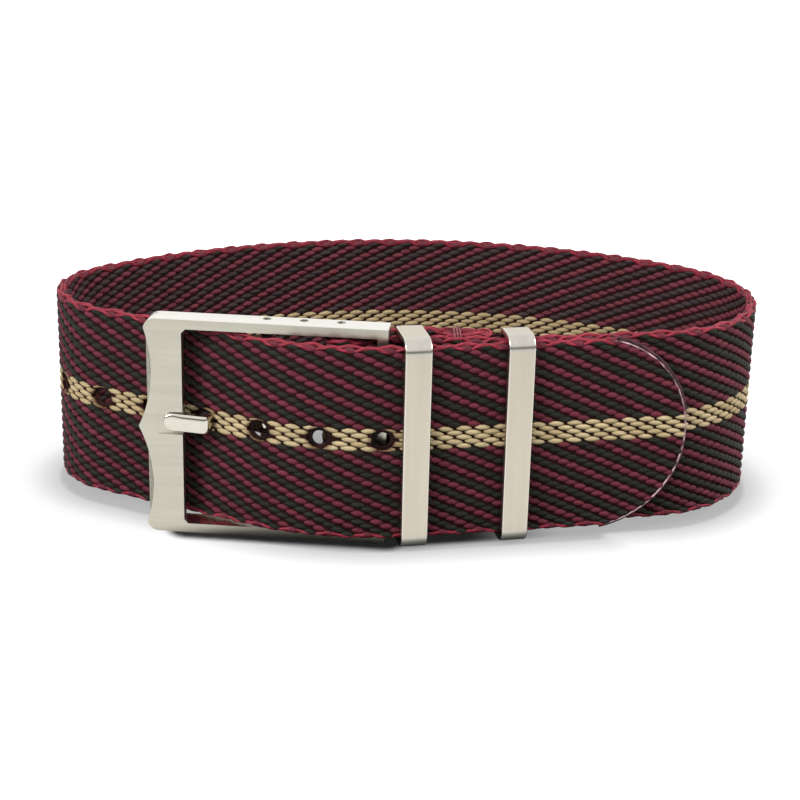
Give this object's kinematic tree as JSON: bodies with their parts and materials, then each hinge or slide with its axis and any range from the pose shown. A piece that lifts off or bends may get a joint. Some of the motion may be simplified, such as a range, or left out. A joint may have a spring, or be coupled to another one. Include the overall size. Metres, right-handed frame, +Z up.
{
  "type": "nylon watch strap",
  "caption": "Woven nylon watch strap closed into a loop, with a steel pin buckle on spring bars, a keeper held in the sewn fold and a keeper that slides along the strap.",
  "frame": {"origin": "centre of the part's box at its lowest face, the under side of the buckle's lower arm", "axes": "+X along the straight tail towards its tip, +Y from the tail into the loop, +Z up, across the ribbon"},
  "size_m": [0.0798, 0.045, 0.0246],
  "materials": {
    "ribbon": "woven burgundy and dark green nylon with a beige stripe",
    "thread": "matt sewing thread",
    "satin_steel": "satin, with polished bevels",
    "polished_steel": "polished",
    "bar_steel": "plain drawn steel"
  },
  "bodies": {
    "strap": {"strap_band": "ribbon", "fold_stitch_row": "thread", "top_edge_tack": "thread", "bottom_edge_tack": "thread"},
    "buckle": {"buckle_frame": "satin_steel"},
    "tongue": {"tongue": "polished_steel"},
    "tongue_bar": {"tongue_bar_tube": "bar_steel", "tongue_bar_spring": "bar_steel"},
    "tongue_bar_top_pin": {"tongue_bar_top_pin": "bar_steel"},
    "tongue_bar_bottom_pin": {"tongue_bar_bottom_pin": "bar_steel"},
    "strap_bar": {"strap_bar_tube": "bar_steel", "strap_bar_spring": "bar_steel"},
    "strap_bar_top_pin": {"strap_bar_top_pin": "bar_steel"},
    "strap_bar_bottom_pin": {"strap_bar_bottom_pin": "bar_steel"},
    "fixed_keeper": {"fixed_keeper": "satin_steel"},
    "free_keeper": {"free_keeper": "satin_steel"}
  },
  "joints": [
    {"name": "buckle_swing", "type": "hinge", "parent": "strap", "child": "buckle", "pos_m": [-0.01045, -0.01615, 0.0123], "axis": [0, 0, 1], "range_deg": [-1, 1.5]},
    {"name": "tongue_swing", "type": "hinge", "parent": "buckle", "child": "tongue", "pos_m": [-0.0181, -0.01381, 0.0128], "axis": [0, 0, 1], "range_deg": [0, 3]},
    {"name": "strap_bar_spin", "type": "hinge", "parent": "strap", "child": "strap_bar", "pos_m": [-0.01045, -0.01615, 0.0123], "axis": [0, 0, 1], "continuous": true},
    {"name": "tongue_bar_spin", "type": "hinge", "parent": "buckle", "child": "tongue_bar", "pos_m": [-0.0181, -0.01381, 0.0123], "axis": [0, 0, 1], "continuous": true},
    {"name": "strap_bar_top_pin_slide", "type": "slide", "parent": "strap_bar", "child": "strap_bar_top_pin", "axis": [0, 0, -1], "range_m": [0, 0.001], "stiffness_N_per_m": 100, "springref_m": -0.0002, "deforming": ["strap_bar_spring"]},
    {"name": "strap_bar_bottom_pin_slide", "type": "slide", "parent": "strap_bar", "child": "strap_bar_bottom_pin", "axis": [0, 0, 1], "range_m": [0, 0.001], "stiffness_N_per_m": 100, "springref_m": -0.0002, "deforming": ["strap_bar_spring"]},
    {"name": "tongue_bar_top_pin_slide", "type": "slide", "parent": "tongue_bar", "child": "tongue_bar_top_pin", "axis": [0, 0, -1], "range_m": [0, 0.001], "stiffness_N_per_m": 100, "springref_m": -0.0002, "deforming": ["tongue_bar_spring"]},
    {"name": "tongue_bar_bottom_pin_slide", "type": "slide", "parent": "tongue_bar", "child": "tongue_bar_bottom_pin", "axis": [0, 0, 1], "range_m": [0, 0.001], "stiffness_N_per_m": 100, "springref_m": -0.0002, "deforming": ["tongue_bar_spring"]},
    {"name": "fixed_keeper_slide", "type": "slide", "parent": "strap", "child": "fixed_keeper", "axis": [1, 0, 0], "range_m": [-0.0003, 0.0007]},
    {"name": "free_keeper_slide", "type": "slide", "parent": "strap", "child": "free_keeper", "axis": [1, 0, 0], "range_m": [-0.0003, 0.015]}
  ]
}
